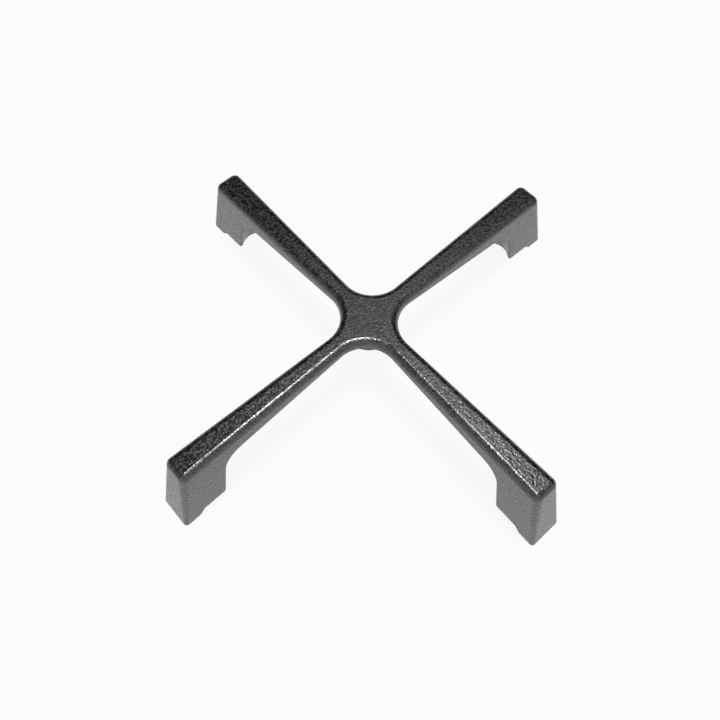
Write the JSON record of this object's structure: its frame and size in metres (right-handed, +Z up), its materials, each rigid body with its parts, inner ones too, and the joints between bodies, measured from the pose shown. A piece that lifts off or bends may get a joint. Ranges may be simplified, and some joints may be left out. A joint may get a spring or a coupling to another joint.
{
  "type": "hob pan support",
  "caption": "Cast-iron cross with tapered arms, drafted legs and locating feet that holds a pan over a gas burner on a hob.",
  "frame": {"origin": "on the surface that the feet stand on, under the middle of the hub", "axes": "+Z up, from the feet to the pan; the four arms run along +X, +Y, -X and -Y"},
  "size_m": [0.2366, 0.2366, 0.041],
  "materials": {
    "enamelled_iron": "matt"
  },
  "bodies": {
    "root": {"pan_support": "enamelled_iron"}
  },
  "joints": []
}
